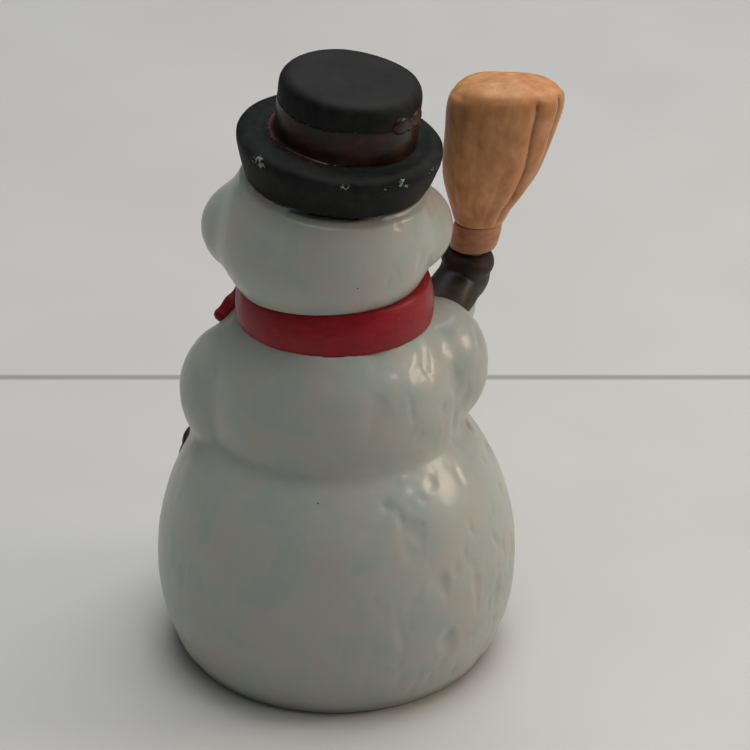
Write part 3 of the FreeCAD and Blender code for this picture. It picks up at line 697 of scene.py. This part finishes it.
@dataclass
class Hat:
    """The lid: a cast hat painted black, with a painted band and bow, which tips on its hinge."""

    origin: tuple[float, float, float] = (-0.3, 0.0, 84.0)
    across: tuple[float, float, float] = (0.993572, 0.0, 0.113203)
    axis: tuple[float, float, float] = (-0.11287, 0.07672, 0.99064)
    crown_shift: float = 0.8
    crown_radius: float = 10.9
    crown_base: float = 8.2
    crown_top: float = 16.9
    brim_height: float = 6.6
    band_height: float = 5.0
    band_film: float = 0.16
    skin: Skin = Skin(0.30, 26, 0.14, 0.26, 6.0, 41.0)
    bow_skin: Skin = Skin(0.16, 16, 0.05, 0.05, 1.4, 47.0)
    channel: float = 1.15
    ridge_roll: float = 0.35
    bow_stand: float = 0.42
    skirt_inside: float = 14.0
    skirt_top: float = 8.0
    brim_face: float = 5.2
    crown_inside: float = 10.2
    crown_foot: float = 7.0
    chip_spots: tuple[tuple[float, float, float], ...] = (
        (40, 11, 0.60), (94, 8, 0.52), (128, 7, 0.56), (-35, 9, 0.5),
    )

    def local(self, place: np.ndarray) -> tuple[np.ndarray, np.ndarray, np.ndarray]:
        """Turns points to the hat's own frame.

        Args:
            place: points in millimetres.

        Returns:
            Distance from the crown's axis, distance from the brim's axis, and height above the rim.
        """
        frame_x, frame_z = np.array(self.across), np.array(self.axis)
        frame_y = np.cross(frame_z, frame_x)
        seen = place - np.array(self.origin)
        x, y, z = seen @ frame_x, seen @ frame_y, seen @ frame_z
        return np.hypot(x + self.crown_shift, y), np.hypot(x, y), z

    def turn(self, place: np.ndarray) -> np.ndarray:
        """Angle of points round the brim, in degrees, from the side away from the broom towards the back."""
        frame_x = np.array(self.across)
        frame_y = np.cross(np.array(self.axis), frame_x)
        seen = place - np.array(self.origin)
        return np.degrees(np.arctan2(seen @ frame_y, seen @ frame_x))

    def free(self, place: np.ndarray, normal: np.ndarray) -> np.ndarray:
        """Weights of the hat's outer face; its rim, its hollow and the hinge's pocket stay true."""
        crown, brim, height = self.local(place)
        frame_z = np.array(self.axis)
        up = normal @ frame_z
        out = np.einsum("ij,ij->i", normal, (place - np.array(self.origin)) / np.maximum(brim, 1)[:, None])
        skirt = (brim > self.skirt_inside) & (height < self.skirt_top)
        brim_top = (brim > self.crown_radius - 0.4) & (height > self.brim_face) & (up > 0.1)
        sides = (crown > self.crown_inside) & (height > self.crown_foot)
        top = (height > self.crown_top - 1.0) & (up > -0.1)
        outside = (skirt | brim_top | sides | top) & ((out > -0.25) | (up > 0.1))
        return outside * smooth_step(height, 0.5, 1.6)

    def build(self) -> None:
        """Models and finishes the hat, band and bow."""
        hat = self.skin.model(["hat_shell"], "painted_hat", self.free)
        self.shape_brim(hat)
        place, _ = points_of(hat)
        crown, brim, height = self.local(place)
        ridge = np.exp(-(((height - self.brim_height + 0.5) / 1.5) ** 2)) * smooth_step(brim, 14.0, 15.4)
        crown_edge = np.exp(-(((height - self.crown_top + 1.0) / 0.8) ** 2)) * smooth_step(crown, 9.4, 10.4)
        patchy = ripple(place, (4.5, 4.5, 4.5), 91.0)
        spots = np.zeros(len(place))
        for middle, width, strength in self.chip_spots:
            off = (self.turn(place) - middle + 180) % 360 - 180
            spots = np.maximum(spots, strength * np.exp(-((off / width) ** 2)))
        spots = np.maximum(spots, 0.42 * smooth_step(patchy, 0.0, 0.35))
        wear = ridge * spots + 0.40 * crown_edge * smooth_step(patchy, 0.0, 0.3)
        store_values(hat, "wear", wear)
        # Painted highlight: the sheen on the crown's top face, kept as an attribute for the paint.
        store_values(hat, "crown_top_sheen", 0.30 * smooth_step(height, self.crown_top - 0.9, self.crown_top))
        settle(hat, ChippedPaint().make(), "hat", ["hat_shell"])
        self.build_band(hat)
        bow = self.bow_skin.model(["hat_bow"], "hat_bow_relief")
        self.flatten_bow(bow)
        settle(bow, BAND_PAINT.make(), "hat", ["hat_bow"])

    def shape_brim(self, hat: bpy.types.Object) -> None:
        """Presses a channel round the crown's foot and rolls the brim's ridge up a little.

        Args:
            hat: the modelled hat.
        """
        place, normal = points_of(hat)
        weights = self.free(place, normal)
        crown, brim, height = self.local(place)
        near_foot = smooth_step(crown, 14.2, 11.2) * smooth_step(height, 12.0, self.crown_base + 0.4)
        wander = 1 + 0.25 * ripple(place, (7.0, 7.0, 7.0), 21.0)
        drop = -self.channel * near_foot * wander * (crown > 9.6)
        roll = self.ridge_roll * smooth_step(brim, 13.0, 15.2) * smooth_step(height, 4.5, 6.2) * wander
        step = (drop + roll) * weights * (height > 4.0)
        moved = (place + step[:, None] * np.array(self.axis)) * MM
        hat.data.vertices.foreach_set("co", moved.astype(np.float32).ravel())
        hat.data.update()

    def flatten_bow(self, bow: bpy.types.Object) -> None:
        """Presses the bow down to a low relief on the crown.

        Args:
            bow: the modelled bow.
        """
        place, _ = points_of(bow)
        crown, _, _ = self.local(place)
        frame_x, frame_z = np.array(self.across), np.array(self.axis)
        middle = np.array(self.origin) - self.crown_shift * frame_x
        off = place - middle
        off = off - (off @ frame_z)[:, None] * frame_z
        out = off / crown[:, None]
        goal = self.crown_radius - 0.1 + (crown - self.crown_radius) * self.bow_stand
        moved = (place + out * (goal - crown)[:, None]) * MM
        bow.data.vertices.foreach_set("co", moved.astype(np.float32).ravel())
        bow.data.update()

    def build_band(self, hat: bpy.types.Object) -> None:
        """Lays the painted band on the crown, as a thin closed film on the hat's own surface.

        Args:
            hat: the finished hat.
        """
        band = bpy.data.objects.new("hat_band_paint", hat.data.copy())
        bpy.context.scene.collection.objects.link(band)
        place, normal = points_of(band)
        crown, _, height = self.local(place)
        wave = 0.45 * ripple(place, (7.0, 7.0, 7.0), 63.0)
        low, high = self.crown_base - 1.1, self.crown_base + self.band_height
        up = normal @ np.array(self.axis)
        outer = (crown > 10.3) & (crown < 12.6) & (up > -0.4)
        keep = outer & (height > low + 0.5 * wave) & (height < high + wave) & (crown > 10.3)
        take_up(band)
        band.data.vertices.foreach_set("select", ~keep)
        bpy.ops.object.mode_set(mode="EDIT")
        bpy.ops.mesh.select_mode(type="VERT")
        bpy.ops.mesh.delete(type="VERT")
        bpy.ops.object.mode_set(mode="OBJECT")
        store_values(band, "carve", np.zeros(len(band.data.vertices)))
        rim = weigh_rim(band)
        log.info("band rim vertices: %d", rim)
        apply_modifier(band, "SMOOTH", factor=0.5, iterations=40, vertex_group="rim")
        apply_modifier(band, "SOLIDIFY", thickness=self.band_film * MM, offset=0.2)
        settle(band, BAND_PAINT.make(), "hat", ["hat_band"])


def weigh_rim(piece: bpy.types.Object) -> int:
    """Groups the vertices on a sheet's open rim.

    Args:
        piece: the sheet.

    Returns:
        How many there are.
    """
    faces_at = {}
    for face in piece.data.polygons:
        for key in face.edge_keys:
            faces_at[key] = faces_at.get(key, 0) + 1
    rim = sorted({v for key, count in faces_at.items() if count == 1 for v in key})
    piece.vertex_groups.new(name="rim").add(rim, 1.0, "REPLACE")
    return len(rim)


@dataclass
class Scarf:
    """Painted scarf: the wrap round the neck, its knot and two tails, modelled as soft folds of knit."""

    wrap_skin: Skin = Skin(0.34, 8, 0.04, 0.10, 4.0, 51.0)
    end_skin: Skin = Skin(0.22, 10, 0.06, 0.08, 2.6, 57.0)
    pleat: float = 0.22

    def build(self) -> None:
        """Models and finishes the scarf's four pieces."""
        paint = SCARF_PAINT.make()
        wrap = self.wrap_skin.model(["scarf_wrap"], "scarf_band")
        settle(wrap, paint, "figure", ["scarf_wrap"])
        for node in ("scarf_knot", "scarf_tail_long", "scarf_tail_short"):
            end = self.end_skin.model([node], node + "_fold")
            place, _ = points_of(end)
            fold = np.cos(place[:, 0] * 2.2 + place[:, 1] * 1.1) + 0.5 * ripple(place, (2.0, 2.0, 6.0), 71.0)
            # The folds go into the carve attribute, so the paint lays painted shade in their troughs.
            carve(end, self.pleat * fold * (0.15 if node == "scarf_knot" else 0.5))
            settle(end, paint, "figure", [node])


@dataclass
class Broom:
    """Broom: a fluted bell of straw, its bound waist, and the stick that runs down to the ground."""

    straw_skin: Skin = Skin(0.34, 90, 0.42, 0.20, 5.0, 81.0)
    waist_skin: Skin = Skin(0.26, 8, 0.05, 0.08, 2.0, 83.0)
    stick_skin: Skin = Skin(0.26, 6, 0.03, 0.06, 2.2, 87.0)
    flute_depth: float = 0.85
    flutes: int = 11
    dome: float = 1.3
    wobble: float = 0.55
    deep_side: float = 165.0
    end_half_width: float = 9.0
    end_half_depth: float = 6.5

    def flute(self, straw: bpy.types.Object) -> None:
        """Presses uneven flutes into the bell, deepest on the outer side, and domes its end face.

        Args:
            straw: the bell of straw.
        """
        place, normal = points_of(straw)
        z = place[:, 2]
        low, high = z.min(), z.max()
        foot = place[z < low + 0.6].mean(0)
        head = place[z > high - 2.0].mean(0)
        share = ((z - low) / (high - low))[:, None]
        off = place - (foot + (head - foot) * share)
        angle = np.arctan2(off[:, 1], off[:, 0])
        wander = 0.9 * ripple(place, (9.0, 9.0, 14.0), 7.0)
        groove = np.abs(np.sin(angle * self.flutes / 2 + wander)) ** 0.5 - 1
        outer = smooth_step(np.cos(angle - math.radians(self.deep_side)), 0.25, 0.9)
        patchy = smooth_step(ripple(np.c_[off[:, :2] * 1.0, z * 0.2], (5.0, 5.0, 5.0), 15.0), -0.2, 0.4)
        strength = 0.10 + 0.14 * patchy + 0.80 * outer
        side = smooth_step(normal[:, 2], 0.75, 0.35) * smooth_step(z, low, low + 4.0)
        across = np.hypot(off[:, 0] / self.end_half_width, off[:, 1] / self.end_half_depth)
        crown = smooth_step(normal[:, 2], 0.5, 0.9) * np.clip(1 - across**2, 0, 1)
        top = smooth_step(normal[:, 2], 0.2, 0.8) * smooth_step(z, high - 4.0, high - 1.0)
        rise = self.dome * crown + self.wobble * top * ripple(place, (5.5, 5.5, 5.5), 31.0)
        depth = self.flute_depth * groove * strength * side + rise
        was = np.empty(len(place), np.float32)
        straw.data.attributes["carve"].data.foreach_get("value", was)
        carve(straw, depth)
        # The flutes' depth, without the dome's rise, is kept for the paint's painted shade in the hollows.
        store_values(straw, "carve", was + depth - rise)

    def build(self) -> None:
        """Models and finishes the straw, binding and stick."""
        straw = self.straw_skin.model(["broom_bristles"], "broom_straw_bell")
        self.flute(straw)
        settle(straw, BROOM_PAINT.make(), "figure", ["broom_bristles"])
        waist = self.waist_skin.model(["broom_binding"], "broom_waist")
        settle(waist, BINDING_PAINT.make(), "figure", ["broom_binding"])
        stick = self.stick_skin.model(["broom_handle"], "broom_stick_bar")
        settle(stick, STICK_PAINT.make(), "figure", ["broom_handle"])


@dataclass
class Face:
    """Plain snowman face and buttons: coal eyes, smile and buttons as lumpy dabs, and a carrot nose."""

    coal_skin: Skin = Skin(0.14, 5, 0.03, 0.08, 0.9, 95.0)
    button_skin: Skin = Skin(0.18, 6, 0.03, 0.08, 1.4, 97.0)
    nose_skin: Skin = Skin(0.18, 8, 0.05, 0.08, 1.6, 99.0)

    def build(self) -> None:
        """Models and finishes the face and buttons."""
        coal = COAL_PAINT.make()
        for node, skin in (("eyes", self.coal_skin), ("mouth_coals", self.coal_skin),
                           ("coat_buttons", self.button_skin)):
            piece = skin.model([node], node + "_coal")
            settle(piece, coal, "figure", [node])
        nose = self.nose_skin.model(["carrot_nose"], "carrot_nose_root")
        settle(nose, CARROT_PAINT.make(), "figure", ["carrot_nose"])


@dataclass
class AirFittings:
    """Working pieces that stay as the CAD has them, each with the finish of what it is made of."""

    finishes: dict = field(default_factory=lambda: {
        "hat_liner": Moulding("liner_white_polypropylene", "#d9dad5", "#c5c7c1"),
        "lid_weight": Metal("stainless_weight", "#b9bbbc", "#8e9192"),
        "hinge_bracket": Metal("blackened_brass", "#4d4136", "#2c2621"),
        "hinge_pin": Metal("drawn_steel_pin", "#c2c3c5", "#97999b"),
        "seat_ring": Moulding("silicone_seat", "#c9cbc8", "#b3b6b2", (0.42, 0.6)),
        "base_stopper": Moulding("rubber_stopper", "#3c3b39", "#2b2a29", (0.6, 0.8), 0.5, 0.04),
        "inlet_elbow": Moulding("abs_elbow", "#33373a", "#25282b"),
        "riser_tube": Moulding("clear_acrylic_tube", "#d4dcdc", "#c4cfd0", (0.08, 0.16), 0.8, 0.01, 0.6),
        "riser_guide": Moulding("guide_disc_polypropylene", "#cfd1cc", "#babdb7"),
        "stone_nipple": Moulding("abs_nipple", "#4a4f52", "#383c3f"),
        "air_stone": SinteredStone(),
    })

    def build(self) -> None:
        """Gives each working piece its finish."""
        for node, finish in self.finishes.items():
            dress(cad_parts[node], finish.make())
            log.info("%s: finish %s", node, finish.name)


# ------------------------------------------------------------------ stage, light and camera


@dataclass(frozen=True)
class Lamp:
    """Soft square lamp: where it hangs, the point it faces, its side in metres, watts and colour."""

    name: str
    place: tuple[float, float, float]
    aim: tuple[float, float, float]
    size: float
    power: float
    colour: str


@dataclass
class Stage:
    """Pale table board with a fine joint behind the figure, lit from the far side, and the camera."""

    half_width: float = 3.0
    joint_y: float = -0.0935
    joint_half: float = 0.0009
    camera_place: tuple[float, float, float] = (-0.00646, 0.3766, 0.2426)
    camera_line: tuple[float, float, float] = (0.0, -0.889, -0.4578)
    lens: float = 124.8
    lamps: tuple[Lamp, ...] = (
        Lamp("far_lamp", (-0.25, -0.40, 1.25), (0.0, -0.03, 0.0), 1.2, 12.2, "#fbfdff"),
        Lamp("overhead_lamp", (0.02, 0.24, 1.20), (0.0, 0.10, 0.0), 0.6, 2.9, "#ffffff"),
        Lamp("warm_side_lamp", (-0.60, -0.02, 0.26), (0.0, 0.0, 0.05), 0.18, 1.05, "#ffe8d0"),
        Lamp("glint_lamp", (-0.55, 0.28, 0.42), (0.0, 0.0, 0.05), 0.05, 0.16, "#fff4e6"),
    )

    def board(self) -> bpy.types.Material:
        """Matt laminate: pale grey, faintly mottled, with the dark hairline of a board joint."""
        material, tree, shader, place = new_material("matt_laminate_board")
        cloud = add_node(tree, "TexNoise", {"Vector": place, "Scale": per_mm(60.0), "Detail": 2.0})
        tint = add_node(tree, "ValToRGB", {"Fac": cloud.outputs["Fac"]})
        ramp(tint, [(0.3, "#d0ceca"), (0.7, "#d5d4d0")])
        split = add_node(tree, "SeparateXYZ", {"Vector": place})
        off = add_node(tree, "Math", {0: split.outputs["Y"], 1: -self.joint_y}, operation="ADD")
        size = add_node(tree, "Math", {0: off.outputs[0]}, operation="ABSOLUTE")
        line = add_node(tree, "MapRange", {"Value": size.outputs[0], "From Min": self.joint_half * 0.6,
                                           "From Max": self.joint_half * 1.6, "To Min": 0.75, "To Max": 0.0})
        joined = add_node(tree, "Mix", {0: line.outputs["Result"], 6: tint.outputs["Color"],
                                        7: linear("#8f8c89")},
                          data_type="RGBA")
        tree.links.new(joined.outputs[2], shader.inputs["Base Color"])
        shader.inputs["Roughness"].default_value = 0.55
        return material

    def build_floor(self) -> None:
        """Lays the board."""
        deselect()
        bpy.ops.mesh.primitive_plane_add(size=self.half_width * 2, location=(0, 0, 0))
        floor = bpy.context.object
        floor.name = "table_board"
        bpy.ops.object.mode_set(mode="EDIT")
        bpy.ops.mesh.subdivide(number_cuts=12)
        bpy.ops.object.mode_set(mode="OBJECT")
        dress(floor, self.board())

    def add_lamp(self, lamp: Lamp) -> None:
        """Adds one lamp.

        Args:
            lamp: what it is and where it hangs.
        """
        data = bpy.data.lights.new(lamp.name, "AREA")
        data.size = lamp.size
        data.energy = lamp.power
        data.color = linear(lamp.colour)[:3]
        hung = bpy.data.objects.new(lamp.name, data)
        hung.location = lamp.place
        hung.rotation_euler = (Vector(lamp.aim) - Vector(lamp.place)).to_track_quat("-Z", "Y").to_euler()
        bpy.context.scene.collection.objects.link(hung)

    def build_light(self) -> None:
        """Hangs the lamps and sets the grey room, which the camera sees paler than it lights."""
        for lamp in self.lamps:
            self.add_lamp(lamp)
        world = bpy.data.worlds.new("grey_room")
        world.use_nodes = True
        tree = world.node_tree
        room = tree.nodes["Background"]
        room.inputs["Color"].default_value = linear("#e8edef")
        seen = add_node(tree, "LightPath").outputs["Is Camera Ray"]
        level = add_node(tree, "MapRange", {"Value": seen, "To Min": 0.09, "To Max": 0.5})
        tree.links.new(level.outputs["Result"], room.inputs["Strength"])
        bpy.context.scene.world = world
        bpy.context.scene.view_settings.view_transform = "Standard"

    def build_camera(self) -> None:
        """Places the camera behind and above the figure."""
        data = bpy.data.cameras.new("camera")
        data.lens = self.lens
        data.sensor_width = 36.0
        data.clip_start = 0.01
        camera = bpy.data.objects.new("camera", data)
        camera.location = self.camera_place
        camera.rotation_euler = Vector(self.camera_line).to_track_quat("-Z", "Y").to_euler()
        bpy.context.scene.collection.objects.link(camera)
        bpy.context.scene.camera = camera


def main() -> None:
    """Builds the camera, the figure and the stage in order."""
    stage = Stage()
    stage.build_camera()
    for part in (Castings(), Hat(), Scarf(), Broom(), Face(), AirFittings()):
        part.build()
        log.info("built %s", type(part).__name__)
    stage.build_floor()
    stage.build_light()


if __name__ == "__main__":
    main()
